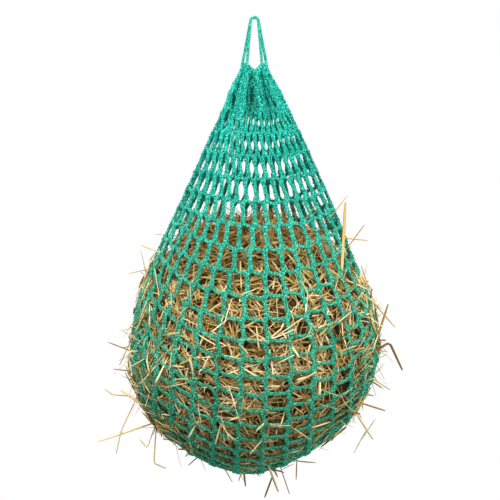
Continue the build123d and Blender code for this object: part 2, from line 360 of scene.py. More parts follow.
def zigzag(column, s):
    """Sideways shift of a column, in columns, where links pull on it."""
    upper, lower = link_ends(column, s, ZIGZAG_LENGTH)
    growth = ZIGZAG_AT_MOUTH + (1 - ZIGZAG_AT_MOUTH) * smooth(s, *ZIGZAG_GROWTH)
    return ZIGZAG * (upper - lower) * growth / column_spacing(column, s)


def knot_swell(column, s):
    """How much thicker a column is where links leave it."""
    upper, lower = link_ends(column, s, KNOT_LENGTH)
    return 1 + KNOT_SWELL * np.minimum(upper + lower, 1)


# --- mesh building ---
def new_object(name, data):
    """A new object in the scene."""
    new = bpy.data.objects.new(name, data)
    bpy.context.scene.collection.objects.link(new)
    return new


class Mesh:
    """Collects closed tubes and turns them into one object."""

    def __init__(self):
        self.verts = []
        self.quads = []
        self.tris = []
        self.count = 0

    def tube(self, centres, side, normal, width, thick, sides):
        """A closed tube of elliptical section along a path, with half sizes width and thick."""
        n = len(centres)
        angle = np.arange(sides) * 2 * math.pi / sides
        width = np.broadcast_to(np.asarray(width, float), (n,))[:, None, None]
        thick = np.broadcast_to(np.asarray(thick, float), (n,))[:, None, None]
        ring = (
            centres[:, None, :]
            + side[:, None, :] * (np.cos(angle)[None, :, None] * width)
            + normal[:, None, :] * (np.sin(angle)[None, :, None] * thick)
        )
        start = self.count
        self.verts.append(ring.reshape(-1, 3))
        self.verts.append(centres[[0, -1]])
        i = np.arange(n - 1)[:, None] * sides + start
        j = np.arange(sides)[None, :]
        k = (j + 1) % sides
        self.quads.append(np.stack([i + j, i + k, i + sides + k, i + sides + j], axis=-1).reshape(-1, 4))
        first, last = start + n * sides, start + n * sides + 1
        top = start + (n - 1) * sides
        j, k = j[0], k[0]
        self.tris.append(np.stack([np.full(sides, first), start + k, start + j], axis=-1))
        self.tris.append(np.stack([np.full(sides, last), top + j, top + k], axis=-1))
        self.count += n * sides + 2

    def object(self, name, material):
        verts = np.concatenate(self.verts) * MM
        quads = np.concatenate(self.quads)
        tris = np.concatenate(self.tris)
        mesh = bpy.data.meshes.new(name)
        mesh.vertices.add(len(verts))
        mesh.vertices.foreach_set("co", verts.astype(np.float32).ravel())
        mesh.loops.add(quads.size + tris.size)
        corners = np.concatenate([quads.ravel(), tris.ravel()])
        mesh.loops.foreach_set("vertex_index", corners.astype(np.int32))
        mesh.polygons.add(len(quads) + len(tris))
        starts = np.concatenate([np.arange(len(quads)) * 4, quads.size + np.arange(len(tris)) * 3])
        mesh.polygons.foreach_set("loop_start", starts.astype(np.int32))
        mesh.update(calc_edges=True)
        mesh.shade_smooth()
        mesh.materials.append(material)
        return new_object(name, mesh)


def ride_on_bag(piece):
    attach(piece, "bag")


def lengths_along(centres):
    """Distance along a path at each of its points."""
    step = np.linalg.norm(np.diff(centres, axis=0), axis=1)
    return np.concatenate([[0], np.cumsum(step)])


def frames(centres, normals):
    """Side and normal directions along a path, both square to it."""
    along = unit(np.gradient(centres, axis=0))
    side = unit(np.cross(along, normals))
    return side, np.cross(side, along)


BRAID_PLIES = 3
PLY_SHARE = 0.38  # half thickness of a ply as a share of the braid's half width
PLY_PRESS = 0.95  # its thickness as a share of its width
PLY_RISE = 0.62  # how far a ply rises where it crosses another one, in ply thicknesses


def braid(mesh, centres, normals, half, pitch, phase=0.0):
    """A flat braid of three plies along a path. Each ply draws a figure of eight in the braid's section."""
    side, normal = frames(centres, normals)
    s = lengths_along(centres)
    half = np.broadcast_to(np.asarray(half, float), s.shape)
    ply = PLY_SHARE * half
    for k in range(BRAID_PLIES):
        t = 2 * math.pi * (s / pitch + phase + k / BRAID_PLIES)
        across = (half - ply) * np.sin(t)
        out = PLY_RISE * ply * 2 * np.sin(2 * t)
        path = centres + side * across[:, None] + normal * out[:, None]
        ply_side, ply_normal = frames(path, normals)
        mesh.tube(path, ply_side, ply_normal, ply, ply * PLY_PRESS, 6)


CORD_STRANDS = 8
CORD_STRAND_SHARE = 0.36  # a strand's radius as a share of the cord's
STRAND_SPREAD, STRAND_PRESS = 1.15, 0.8  # a strand is pressed flat: its half width and half thickness
STRAND_WEAVE = 0.15  # how far a strand rises and dips, as a share of the cord's radius
CORD_PITCH = 13.0


def round_braid(mesh, centres, normals, radius):
    """A round braided cord: half the strands wind each way and weave over and under each other."""
    side, normal = frames(centres, normals)
    s = lengths_along(centres)
    ply = radius * CORD_STRAND_SHARE
    for k in range(CORD_STRANDS):
        way = 1 if k % 2 else -1
        t = way * (2 * math.pi * s / CORD_PITCH) + 2 * math.pi * k / CORD_STRANDS
        wave = np.sin(CORD_STRANDS / 2 * t + way * math.pi / 2)
        reach = radius - ply * STRAND_SPREAD + STRAND_WEAVE * radius * wave
        path = centres + side * (reach * np.cos(t))[:, None] + normal * (reach * np.sin(t))[:, None]
        ply_side, ply_normal = frames(path, unit(path - centres))
        mesh.tube(path, ply_side, ply_normal, ply * STRAND_SPREAD, ply * STRAND_PRESS, 5)


# --- materials ---
def new_material(name, roughness, specular=0.5):
    material = bpy.data.materials.new(name)
    material.use_nodes = True
    tree = material.node_tree
    shader = tree.nodes["Principled BSDF"]
    shader.inputs["Roughness"].default_value = roughness
    shader.inputs["Specular IOR Level"].default_value = specular
    return material, tree, shader


def node(tree, kind, inputs):
    """A new shader node, with inputs that are plain values or other nodes' outputs."""
    new = tree.nodes.new(f"ShaderNode{kind}")
    for name, value in inputs.items():
        if isinstance(value, bpy.types.NodeSocket):
            tree.links.new(value, new.inputs[name])
        else:
            new.inputs[name].default_value = value
    return new


def ramp(tree, source, stops):
    new = node(tree, "ValToRGB", {"Fac": source})
    elements = new.color_ramp.elements
    while len(elements) < len(stops):
        elements.new(0.5)
    for element, (place, colour) in zip(elements, stops):
        element.position = place
        element.color = (*colour, 1)
    return new.outputs["Color"]


def noise(tree, scale, detail, stretch=(1, 1, 1)):
    place = node(tree, "TexCoord", {}).outputs["Object"]
    vector = node(tree, "Mapping", {"Vector": place, "Scale": stretch}).outputs["Vector"]
    return node(tree, "TexNoise", {"Vector": vector, "Scale": scale, "Detail": detail}).outputs["Fac"]


def height(tree, low, high):
    """0 at the height low and 1 at the height high, in metres."""
    place = node(tree, "TexCoord", {}).outputs["Object"]
    z = node(tree, "SeparateXYZ", {"Vector": place}).outputs["Z"]
    return node(tree, "MapRange", {"Value": z, "From Min": low, "From Max": high}).outputs["Result"]


def island(tree):
    """A random number for each separate ply or stalk."""
    return node(tree, "NewGeometry", {}).outputs["Random Per Island"]


def mix(tree, factor, a, b, blend="MIX"):
    new = tree.nodes.new("ShaderNodeMix")
    new.data_type = "RGBA"
    new.blend_type = blend
    for socket, value in (("Factor", factor), ("A", a), ("B", b)):
        target = [i for i in new.inputs if i.name == socket and i.enabled][0]
        if isinstance(value, bpy.types.NodeSocket):
            tree.links.new(value, target)
        elif isinstance(value, tuple):
            target.default_value = (*value, 1)
        else:
            target.default_value = value
    return [o for o in new.outputs if o.enabled][0]


def multiply(tree, a, b):
    return mix(tree, 1.0, a, b, "MULTIPLY")


def bump(tree, shader, relief, strength, distance):
    """Fine relief, with its depth in metres."""
    new = node(tree, "Bump", {"Height": relief, "Strength": strength, "Distance": distance})
    tree.links.new(new.outputs["Normal"], shader.inputs["Normal"])


PLY_TONES = [(0.0, (0.72, 0.77, 0.77)), (0.5, (0.95, 0.97, 0.97)), (1.0, (1.2, 1.13, 1.13))]
FADE_TONES = [(0.3, (0.88, 0.92, 0.9)), (0.7, (1.06, 1.03, 1.04))]
NET_BOTTOM, NET_TOP = -0.85, -0.10
PAINTED_HEIGHT_SHADING = [  # painted light and shade by height, from the net's bottom to its top: the bag's middle darkened, its bottom lightened, with a warmer tint lower down
    (0.0, (1.30, 1.15, 0.92)),
    (0.32, (1.25, 0.90, 0.72)),
    (0.6, (1.25, 0.96, 0.84)),
    (0.8, (0.90, 0.95, 0.94)),
    (1.0, (0.94, 1.07, 1.05)),
]
DUST = (0.42, 0.28, 0.08)
DUST_SHARE = [(0.0, (0.05, 0.05, 0.05)), (1.0, (0, 0, 0))]
DUST_FULL, DUST_NONE = -0.55, -0.25


def yarn_material(name, dark, middle, light):
    """Knitted polypropylene yarn: fibre speckle, slow fading, painted light and shade by height, dust
    towards the bottom and a soft sheen.
    """
    material, tree, shader = new_material(name, 0.5, 0.08)
    speckle = ramp(tree, noise(tree, 430, 2), [(0.37, dark), (0.5, middle), (0.63, light)])
    plies = multiply(tree, speckle, ramp(tree, island(tree), PLY_TONES))
    faded = multiply(tree, plies, ramp(tree, noise(tree, 9, 2), FADE_TONES))
    # painted light and shade: darker over the bag, lighter at the bottom and the top
    colour = multiply(tree, faded, ramp(tree, height(tree, NET_BOTTOM, NET_TOP), PAINTED_HEIGHT_SHADING))
    dust = ramp(tree, height(tree, DUST_FULL, DUST_NONE), DUST_SHARE)
    tree.links.new(mix(tree, dust, colour, DUST), shader.inputs["Base Color"])
    shader.inputs["Sheen Weight"].default_value = 0.02
    shader.inputs["Sheen Roughness"].default_value = 0.5
    bump(tree, shader, noise(tree, 600, 3), 0.9, 0.0012)
    return material


MOTTLE_TONES = [(0.3, (0.55, 0.5, 0.42)), (0.7, (1.15, 1.12, 1.05))]
MOTTLE_SHARE = 0.35
CROWN_SHADE_TONES = [(0.0, (1, 1, 1)), (1.0, (0.74, 0.62, 0.50))]  # painted shade: the hay is darker and browner on top
CROWN_START, CROWN_FULL = -0.46, -0.36


def hay_material(name, tones):
    """Dried stalks: one tone for each stalk, with fine mottling and painted shade on the hay's top."""
    material, tree, shader = new_material(name, 0.7, 0.06)
    tone = ramp(tree, island(tree), tones)
    mottled = multiply(tree, tone, ramp(tree, noise(tree, 260, 4), MOTTLE_TONES))
    colour = mix(tree, MOTTLE_SHARE, tone, mottled)
    # painted shade that darkens and browns the stalks on the hay's top
    crown_shade = ramp(tree, height(tree, CROWN_START, CROWN_FULL), CROWN_SHADE_TONES)
    tree.links.new(multiply(tree, colour, crown_shade), shader.inputs["Base Color"])
    bump(tree, shader, noise(tree, 700, 3), 0.4, 0.0005)
    return material


CORE_TONES = [(0.35, (0.012, 0.005, 0.001)), (0.65, (0.08, 0.038, 0.009))]


def core_material(name):
    """The shaded depth of the hay between the stalks."""
    material, tree, shader = new_material(name, 0.9)
    colour = ramp(tree, noise(tree, 160, 5, (1, 1, 0.4)), CORE_TONES)
    tree.links.new(colour, shader.inputs["Base Color"])
    bump(tree, shader, noise(tree, 220, 5), 0.9, 0.004)
    return material


YARN = yarn_material("netting_yarn", (0.0, 0.11, 0.08), (0.004, 0.40, 0.30), (0.10, 0.80, 0.67))
CORD = yarn_material("drawcord_yarn", (0.0, 0.18, 0.13), (0.025, 0.43, 0.33), (0.13, 0.74, 0.61))
DEEP_HAY = hay_material(
    "shaded_hay_stalks",
    [
        (0.0, (0.07, 0.024, 0.002)),
        (0.4, (0.22, 0.105, 0.014)),
        (0.8, (0.44, 0.27, 0.06)),
        (1.0, (0.62, 0.44, 0.14)),
    ],
)
HAY = hay_material(
    "hay_stalks",
    [
        (0.0, (0.12, 0.05, 0.008)),
        (0.25, (0.36, 0.20, 0.04)),
        (0.55, (0.68, 0.48, 0.16)),
        (0.85, (0.95, 0.79, 0.42)),
        (1.0, (0.42, 0.35, 0.09)),
    ],
)
PALE_HAY = hay_material(
    "loose_hay_stalks",
    [
        (0.0, (0.22, 0.10, 0.025)),
        (0.3, (0.52, 0.34, 0.11)),
        (0.7, (0.90, 0.71, 0.36)),
        (1.0, (0.98, 0.88, 0.60)),
    ],
)
HAY_DARK = core_material("hay_depth")

# --- netting ---
TOP_ZONE_END = 100.0  # the pleats' piece of the netting ends here
NECK_END = float(np.interp(-SPLIT_Z, -descent_z, descent_s))
SECTORS = (
    "front_left",
    "front_mid_left",
    "front_mid_right",
    "front_right",
    "back_right",
    "back_mid_right",
    "back_mid_left",
    "back_left",
)
SECTOR_WALES = WALES // len(SECTORS)


def zone_samples(start, end):
    return np.linspace(start, end, max(int(round((end - start) / SAMPLE)), 2) + 1)


def pulled_thin(column, s):
    """Share of a strand's width that is left where columns run close together."""
    spacing = column_spacing(column, s)
    low = np.clip(spacing / OPEN_SPACING, OPEN_LEAST, 1)
    pleat = np.clip(spacing / PLEAT_SPACING, PLEAT_LEAST, 1)
    in_bag = smooth(s, UPPER_LENGTH - UNDER_BAG, UPPER_LENGTH + UNDER_BAG)
    in_pleats = 1 - smooth(s, *PLEAT_THIN_FADE)
    return 1 - (1 - low) * in_bag - (1 - pleat) * in_pleats


def wale(mesh, column, start, end):
    """One column of the knit between two distances from the mouth."""
    s = zone_samples(start, end)
    at = column + zigzag(column, s)
    half = np.interp(s, *zip(*WALE_HALF)) * knot_swell(column, s) * pulled_thin(column, s)
    at_side = smooth(np.abs(np.sin(turn_of(column) + math.radians(NECK_TURN))), *SIDE_SWELL_SINE)
    swell = at_side * smooth(s, *SIDE_SWELL_START) * (1 - smooth(s, *SIDE_SWELL_END))
    half = half * (1 + SIDE_SWELL * swell)
    phase = WALE_PHASE * column + start / WALE_PLY_PITCH
    braid(mesh, net_point(at, s), net_normal(at, s), half, WALE_PLY_PITCH, phase)


def link(mesh, row, column):
    """The strand of a row that joins a column to the next one."""
    a, b = float(row_distance(row, column)), float(row_distance(row, column + 1))
    half_step = float(link_step((a + b) / 2)) / 2
    a, b = a - half_step, b + half_step
    start_u = column + float(zigzag(column, np.array([a]))[0])
    end_u = column + 1 + float(zigzag(column + 1, np.array([b]))[0])
    width = float(column_spacing(column + 0.5, (a + b) / 2))
    n = max(int(math.hypot(width, b - a) / SAMPLE), 6)
    t = np.linspace(*LINK_SPAN, n)
    ease = t + LINK_EASE * np.sin(2 * math.pi * t)
    sag = LINK_SAG * np.sin(math.pi * t) * min(width / LINK_SAG_WIDTH, 1)
    u = start_u + (end_u - start_u) * t
    s = a + (b - a) * ease + sag
    normals = net_normal(u, s)
    half = np.interp(s, *zip(*LINK_HALF))
    phase = LINK_ROW_PHASE * row + LINK_WALE_PHASE * column
    braid(mesh, net_point(u, s) - normals * LINK_INSET, normals, half, LINK_PLY_PITCH, phase)


def row_zone(row, column):
    """Which stretch of the netting a link belongs to."""
    at = row_distance(row, column + 0.5)
    if at < TOP_ZONE_END:
        return "top"
    return "neck" if at < NECK_END else "bag"


def sector_netting(sector):
    """The columns of one sector and their links, in three pieces: pleats, neck and bag."""
    zones = {"top": Mesh(), "neck": Mesh(), "bag": Mesh()}
    for column in range(sector * SECTOR_WALES, (sector + 1) * SECTOR_WALES):
        wale(zones["top"], column, 0.0, TOP_ZONE_END)
        wale(zones["neck"], column, TOP_ZONE_END, NECK_END)
        wale(zones["bag"], column, NECK_END, float(column_length(column)))
        for row in range(len(ROWS)):
            link(zones[row_zone(row, column)], row, column)
    return zones


for sector, side in enumerate(SECTORS):
    zones = sector_netting(sector)
    pleats = zones["top"].object(f"gathered_pleats_{side}", YARN)
    neck = zones["neck"].object(f"neck_netting_{side}", YARN)
    bag = zones["bag"].object(f"bag_netting_{side}", YARN)
    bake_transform(pleats)
    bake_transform(neck)
    ride_on_bag(bag)
    if sector == 0:
        # with the first sector, all of the frame's netting parts are hidden
        for piece, prefix in ((pleats, "mouth_pleat"), (neck, "neck_"), (bag, "bag_")):
            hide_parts(*[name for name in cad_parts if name.startswith(prefix)])

# --- hay ---
HAY_CENTRE = np.array([0.0, 0.0, -557.0])
HAY_CROWN_Z = -356.0  # the hay's top is a dome, this high in the middle
HAY_RIM_Z = -418.0  # and this high at the rim
HAY_RIM_R = 150.0
CROWN_WAVE_R = 120.0  # the dome's waves are largest from here outwards
HAY_REACH = 420.0  # farther from the hay's centre than any part of its skin
SEARCH_STEPS = 22
SPARE_DRAWS = 3  # directions drawn for each point that is kept


def outside(points):
    """Positive outside the space that the hay fills, negative inside it."""
    x, y, z = points[..., 0], points[..., 1], points[..., 2]
    x = x - bottom_drift(z)
    turn = np.arctan2(x, -y)
    radius = np.hypot(x, y)
    upper = radius / np.maximum(profile(np.clip(z, BAG_Z, MOUTH_Z)), 1.0) - 1
    deep = np.sqrt(np.maximum(BAG_R**2 - x**2, 1.0))
    low = np.maximum(bottom_depth(np.clip(x, -BAG_R * 0.999, BAG_R * 0.999)), 1.0)
    lower = np.sqrt((y / deep) ** 2 + ((z - BAG_Z) / low) ** 2) - 1
    lower = np.maximum(lower, np.abs(x) / BAG_R - 1)
    body = np.where(z > BAG_Z, upper, lower) - lumps(turn, z) / BAG_R
    crown = HAY_CROWN_Z + (HAY_RIM_Z - HAY_CROWN_Z) * (radius / HAY_RIM_R) ** 2
    waves = 9 * np.sin(3 * turn + 1) + 6 * np.sin(7 * turn)
    crown = crown + waves * np.clip(radius / CROWN_WAVE_R, 0, 1)
    return np.maximum(body, (z - crown) / HAY_RIM_R)


def hay_surface(directions):
    """Distance from the hay's centre to its skin in each direction, found by halving."""
    near = np.zeros(directions.shape[:-1])
    far = np.full(directions.shape[:-1], HAY_REACH)
    for _ in range(SEARCH_STEPS):
        middle = (near + far) / 2
        out = outside(HAY_CENTRE + directions * middle[..., None]) > 0
        far = np.where(out, middle, far)
        near = np.where(out, near, middle)
    return near


def skin_directions(rng, count):
    """Directions from the hay's centre to points spread evenly over its skin."""
    directions = unit(rng.normal(size=(count * SPARE_DRAWS, 3)))
    reach = hay_surface(directions)
    keep = rng.random(count * SPARE_DRAWS) < (reach / reach.max()) ** 2
    return directions[keep][:count]


def skin_normal(points):
    """Outward normals of the hay's skin, from the slope of the outside function."""
    step = 1.0
    slope = [outside(points + step * axis) - outside(points - step * axis) for axis in np.eye(3)]
    return unit(np.stack(slope, axis=-1))


def skewed(rng, bounds, power, count=None):
    """Random values between two bounds; the higher the power, the more of them are near the lower one."""
    low, high = bounds
    return low + (high - low) * rng.random(count) ** power


END_TAPER = 0.4


def stalk(mesh, path, outward, width, thick, sides=4):
    """One stalk: a thin, slightly tapered blade along a path, with half sizes width and thick."""
    side, normal = frames(path, outward)
    taper = 1 - END_TAPER * np.linspace(-1, 1, len(path)) ** 4
    mesh.tube(path, side, normal, width * taper, thick * taper, sides)


TUFT_SIZE = 5
TUFT_SPREAD = 0.055  # how far a tuft's stalks lie apart, as seen from the hay's centre, in radians
LIE_SPREAD = 0.32  # and how much their headings differ
TILT_SPREAD = 0.09  # how steeply they rise out of the skin
ROLL_SPREAD = 0.3
BEND_SPREAD = 0.05  # bend as a share of the length
LYING_SKEW = 2.2  # narrow stalks are more common than broad ones
FLATTENED, THICKEST = 0.85, 1.8  # thickness as a share of the width, and its limit as a half size
FRONT_SHARE = 0.10  # share of the side layer's stalks that is left in the middle of the front and back
SIDE_LAYER_X = (0.36, 0.74)  # where that share begins to grow and is complete, in directions from the centre
SIDE_LAYER_MIDDLE = 0.06


def lying_stalks(mesh, rng, count, insets, lengths, widths, to_sides):
    """Straight stalks that lie in tufts in the hay's skin."""
    tuft_directions = skin_directions(rng, count // TUFT_SIZE)
    tuft_lie = rng.uniform(0, math.pi, len(tuft_directions))
    pick = rng.integers(0, len(tuft_directions), count)
    directions = unit(tuft_directions[pick] + rng.normal(0, TUFT_SPREAD, (count, 3)))
    if to_sides:
        at_side = smooth(np.abs(directions[:, 0] - SIDE_LAYER_MIDDLE), *SIDE_LAYER_X)
        kept = rng.random(count) < FRONT_SHARE + (1 - FRONT_SHARE) * at_side
        directions, pick = directions[kept], pick[kept]
        count = len(pick)
    base = HAY_CENTRE + directions * hay_surface(directions)[:, None]
    normal = skin_normal(base)
    east = unit(np.cross([0.0, 0.0, 1.0], normal))
    north = np.cross(normal, east)
    lie = (tuft_lie[pick] + rng.normal(0, LIE_SPREAD, count))[:, None]
    tilt = rng.normal(0, TILT_SPREAD, count)[:, None]
    heading = unit(east * np.cos(lie) + north * np.sin(lie) + normal * tilt)
    cross = np.cross(normal, heading)
    length = rng.uniform(*lengths, count)[:, None]
    inset = rng.uniform(*insets, count)[:, None]
    bend = rng.normal(0, BEND_SPREAD, count)[:, None] * length
    width = skewed(rng, widths, LYING_SKEW, count) / 2
    roll = unit(normal + rng.normal(0, ROLL_SPREAD, (count, 3)))
    t = np.linspace(-0.5, 0.5, 5)[:, None]
    for k in range(count):
        path = base[k] - normal[k] * inset[k] + heading[k] * (length[k] * t) + cross[k] * (bend[k] * t**2)
        stalk(mesh, path, roll[k], width[k], min(width[k] * FLATTENED, THICKEST))


CANDIDATES = 9000
ROOT_DEPTH = 6.0  # the loose stalks start this far under the skin
ROOT_LENGTH = 10.0  # and this much of them is not counted in their reach
LEAN_SKEW, REACH_SKEW, LOOSE_SKEW = 0.5, 1.6, 2.5
BOW_SPREAD = 0.04  # bow as a share of the reach
KINK_PLACE = (0.35, 0.7)
KINKS = (0, 0, 0, 0.5)  # one stalk in four is kinked
LOOSE_FLATNESS, LOOSE_THINNEST = 0.45, 0.45  # thickness as a share of the width, and its least half size


def standing_stalks(mesh, rng, count, keep, reaches, widths, leans):
    """Loose stalks that leave the skin through the meshes and stand or lie over the netting."""
    directions = skin_directions(rng, CANDIDATES)
    chosen = directions[keep(*directions.T)][:count]
    bases = HAY_CENTRE + chosen * hay_surface(chosen)[:, None]
    t = np.linspace(0, 1, 7)
    for base, normal in zip(bases, skin_normal(bases)):
        sideways = unit(np.cross(normal, rng.normal(size=3)))
        lean = skewed(rng, leans, LEAN_SKEW)
        heading = unit(normal * math.cos(lean) + sideways * math.sin(lean))
        reach = skewed(rng, reaches, REACH_SKEW)
        bow = unit(rng.normal(size=3)) * rng.normal(0, BOW_SPREAD) * reach
        kink = rng.uniform(*KINK_PLACE)
        bent = unit(rng.normal(size=3)) * rng.choice(KINKS) * reach
        along = t * (reach + ROOT_LENGTH) - ROOT_DEPTH
        path = base - normal * ROOT_DEPTH + heading * along[:, None] + bow * (t**2)[:, None]
        path = path + bent * np.maximum(t - kink, 0)[:, None]
        width = skewed(rng, widths, LOOSE_SKEW) / 2
        stalk(mesh, path, sideways, width, max(width * LOOSE_FLATNESS, LOOSE_THINNEST), 5)


CORE_RINGS, CORE_AROUND = 72, 120
CORE_INSET = 17.0  # the core's skin lies this far under the hay's


def hay_core_mesh():
    """The dark body of the hay under its stalks, a lumpy closed skin."""
    rings, around = CORE_RINGS, CORE_AROUND
    polar = np.linspace(0, math.pi, rings + 1)[1:-1]
    turn = np.arange(around) * 2 * math.pi / around
    polar, turn = np.meshgrid(polar, turn, indexing="ij")
    flat = np.sin(polar)
    directions = np.stack([flat * np.cos(turn), flat * np.sin(turn), np.cos(polar)], axis=-1)
    rough = 2.0 * np.sin(9 * turn + 7 * polar)
    rough = rough + 1.6 * np.sin(17 * turn - 13 * polar) + 1.2 * np.sin(31 * polar + 5 * turn)
    skin = HAY_CENTRE + directions * (hay_surface(directions) - CORE_INSET + rough)[..., None]
    poles = np.array([[0, 0, 1.0], [0, 0, -1.0]])
    pole_points = HAY_CENTRE + poles * (hay_surface(poles) - CORE_INSET)[:, None]
    mesh = Mesh()
    mesh.verts = [skin.reshape(-1, 3), pole_points]
    i = np.arange(rings - 2)[:, None] * around
    j = np.arange(around)[None, :]
    k = (j + 1) % around
    mesh.quads = [np.stack([i + j, i + around + j, i + around + k, i + k], axis=-1).reshape(-1, 4)]
    top, bottom = (rings - 1) * around, (rings - 1) * around + 1
    last = (rings - 2) * around
    j, k = j[0], k[0]
    mesh.tris = [
        np.stack([np.full(around, top), j, k], axis=-1),
        np.stack([np.full(around, bottom), last + k, last + j], axis=-1),
    ]
    return mesh


core = hay_core_mesh().object("hay_packed_core", HAY_DARK)
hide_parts("hay_core")
ride_on_bag(core)

rng = np.random.default_rng(11)
LYING = 14000
# inset range, length range, width range, share of the stalks, only towards the sides, colour
LAYERS = (
    ((16, 24), (40, 95), (1.6, 4.4), 0.34, False, DEEP_HAY),
    ((8, 17), (30, 80), (1.5, 4.4), 0.34, False, HAY),
    ((4, 11), (22, 66), (1.3, 5.0), 0.20, False, PALE_HAY),
    ((-7, 4), (20, 60), (1.1, 4.4), 0.15, True, HAY),
)
for layer, (insets, lengths, widths, share, to_sides, material) in enumerate(LAYERS):
    mesh = Mesh()
    lying_stalks(mesh, rng, int(LYING * share), insets, lengths, widths, to_sides)
    ride_on_bag(mesh.object(f"hay_lying_stalks_{layer + 1}", material))

# The loose stalks' groups, by their directions from the hay's centre.
SIDE_X = 0.62
BASE_Z, RIM_Z, CROWN_Z = -0.75, 0.5, 0.72
LOOSE_REACH, LOOSE_WIDTH, LOOSE_LEAN = (10, 58), (1.0, 4.2), (0.6, 1.52)
CROWN_REACH, CROWN_WIDTH, CROWN_LEAN = (10, 60), (0.9, 3.2), (0.2, 1.45)
GROUPS = {
    "left": (lambda x, y, z: (x < -SIDE_X) & (z > BASE_Z) & (z < RIM_Z), 330),
    "right": (lambda x, y, z: (x > SIDE_X) & (z > BASE_Z) & (z < RIM_Z), 330),
    "front": (lambda x, y, z: (y < 0) & (abs(x) <= SIDE_X) & (z > BASE_Z) & (z < RIM_Z), 260),
    "back": (lambda x, y, z: (y >= 0) & (abs(x) <= SIDE_X) & (z > BASE_Z), 260),
    "base": (lambda x, y, z: z <= BASE_Z, 110),
}
for side, (keep, count) in GROUPS.items():
    mesh = Mesh()
    standing_stalks(mesh, rng, count, keep, LOOSE_REACH, LOOSE_WIDTH, LOOSE_LEAN)
    piece = mesh.object(f"loose_stalks_{side}", PALE_HAY)
    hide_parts(f"stalks_{side}")
    ride_on_bag(piece)

mesh = Mesh()
standing_stalks(mesh, rng, 300, lambda x, y, z: z > CROWN_Z, CROWN_REACH, CROWN_WIDTH, CROWN_LEAN)
ride_on_bag(mesh.object("loose_stalks_crown", HAY))

# Long stalks that stand clear of the outline: width, then the points (x, z) from root to tip.
LONG_STALKS = (
    (3.6, (-184, -742), (-287, -774)),
    (2.2, (-214, -690), (-245, -754), (-254, -797)),
    (2.4, (-180, -738), (-185, -815), (-163, -825)),
    (2.4, (-182, -746), (-197, -786), (-212, -769)),
    (2.4, (-226, -692), (-260, -686), (-274, -676)),
    (5.5, (-140, -718), (-190, -703), (-245, -677)),
    (2.2, (-212, -596), (-267, -588)),
    (1.8, (-222, -575), (-247, -631)),
    (2.4, (-164, -416), (-207, -408)),
    (5.6, (156, -452), (165, -329)),
    (1.8, (136, -352), (169, -316)),
    (2.2, (164, -412), (200, -370)),
    (2.2, (160, -392), (207, -399)),
    (4.0, (216, -592), (244, -517)),
    (2.4, (212, -510), (257, -560)),
    (4.2, (150, -552), (240, -584)),
    (4.4, (205, -596), (247, -588), (271, -640)),
    (2.2, (206, -636), (249, -677)),
    (3.2, (186, -682), (240, -716)),
    (3.6, (180, -698), (218, -770)),
    (1.8, (196, -776), (222, -732)),
    (1.8, (206, -756), (183, -796)),
    (4.0, (24, -790), (44, -869)),
    (3.2, (34, -842), (19, -880)),
    (1.8, (46, -820), (65, -874)),
    (2.2, (78, -806), (77, -846)),
)

LONG_CLEARANCE = 8.0  # how far the long stalks stand in front of the bag
LONG_ROOT = 6.0  # and how deep their roots lie in it
LONG_FLATNESS, LONG_THINNEST = 0.22, 0.5


def front_depth(x, z):
    """How far the bag's front stands out at a place seen from the front, 0 outside its outline."""
    if z > BAG_Z:
        return math.sqrt(max(float(profile(np.array(z))) ** 2 - x**2, 0.0))
    share = 1 - ((BAG_Z - z) / max(float(bottom_depth(x)), 1.0)) ** 2
    return math.sqrt(max(BAG_R**2 - x**2, 0.0)) * math.sqrt(max(share, 0.0))


mesh = Mesh()
for width, *points in LONG_STALKS:
    corners = np.array([(x, -front_depth(x, z) - LONG_CLEARANCE, z) for x, z in points])
    corners[0, 1] += LONG_CLEARANCE + LONG_ROOT
    t = np.linspace(0, len(corners) - 1, 12)
    path = np.stack([np.interp(t, range(len(corners)), corners[:, axis]) for axis in range(3)], axis=-1)
    stalk(mesh, path, [0.0, -1.0, 0.3], width / 2, max(width * LONG_FLATNESS, LONG_THINNEST), 6)
ride_on_bag(mesh.object("loose_stalks_long", HAY))

# --- drawcord ---
HOOK_R = 4.0
LOOP_CORD_R = CORD_R + 0.3  # the loops' cord is a little loose where nothing holds it
LOOP_Y_TOP, LOOP_Y_FOOT = 2.9, 6.3  # the two loops lie apart, to the front and to the back of the hook
LEG_X = {"front": 14.0, "back": (loop_hi.x - loop_lo.x) / 2 / MM - CORD_R}
FOOT_RISE = 1.0  # the loops' legs end this far above the middle of the mouth's cord
RUN_HALF_WIDTH, RUN_HALF_DEPTH = 23.0, 9.5
RUN_DROP, RUN_PEAK, RUN_DIP = 3.0, 5.0, 4.0
KNOT_DROP = 21.0
KNOT_GAP = 0.15  # the knot's curve is open here, in radians
KNOT_SIZE = CORD_R * 0.95
END_R = CORD_R * 0.9
BACKWARD, UPWARD = (0.0, 1.0, 0.0), (0.0, 0.0, 1.0)


def loop_path(leg_x, y_sign):
    """Centre line of one hanging loop, from its left foot over the hook to its right foot."""
    bend = HOOK_R + LOOP_CORD_R
    lean = math.atan2(leg_x, -MOUTH_Z) - math.asin(bend / math.hypot(leg_x, MOUTH_Z))
    arc = np.linspace(math.pi - lean, lean, 24)
    top = np.stack([bend * np.cos(arc), bend * np.sin(arc)], axis=-1)
    foot = np.array([leg_x, MOUTH_Z + FOOT_RISE])
    leg = np.linspace(0, 1, 80)[:-1, None]
    left = foot * (-1, 1) * (1 - leg) + top[0] * leg
    right = foot * (1 - leg) + top[-1] * leg
    flat = np.concatenate([left, top, right[::-1]])
    spread = LOOP_Y_TOP + (LOOP_Y_FOOT - LOOP_Y_TOP) * flat[:, 1] / MOUTH_Z
    return np.stack([flat[:, 0], y_sign * spread, flat[:, 1]], axis=-1)


